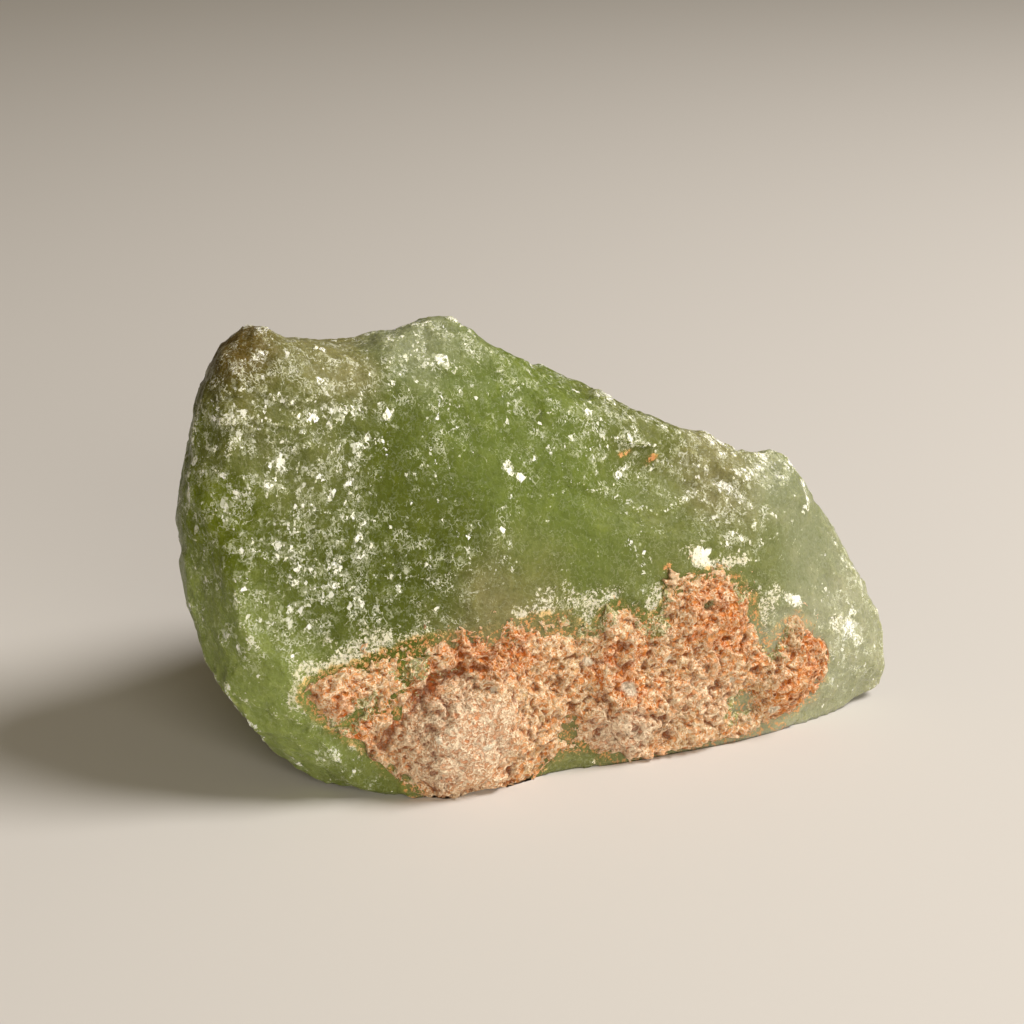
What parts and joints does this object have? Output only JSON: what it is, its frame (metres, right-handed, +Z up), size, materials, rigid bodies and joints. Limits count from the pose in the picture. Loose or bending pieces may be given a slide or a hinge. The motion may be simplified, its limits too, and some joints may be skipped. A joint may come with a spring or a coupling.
{
  "type": "raw green calcite",
  "caption": "Raw chunk of green calcite: a broken, wedge-shaped block of translucent crystal with a crumbly rusty matrix crust grown into the foot of its broad front face.",
  "frame": {"origin": "on the surface the stone stands on, under the middle of its bounding box", "axes": "+Z up, +X along the stone's length towards its thin end, -Y out of the broad face that carries the crust"},
  "size_m": [0.0882, 0.0472, 0.0537],
  "materials": {
    "calcite": "satin",
    "matrix_crust": "matte"
  },
  "bodies": {
    "root": {"calcite": "calcite", "matrix_crust": "matrix_crust"}
  },
  "joints": []
}
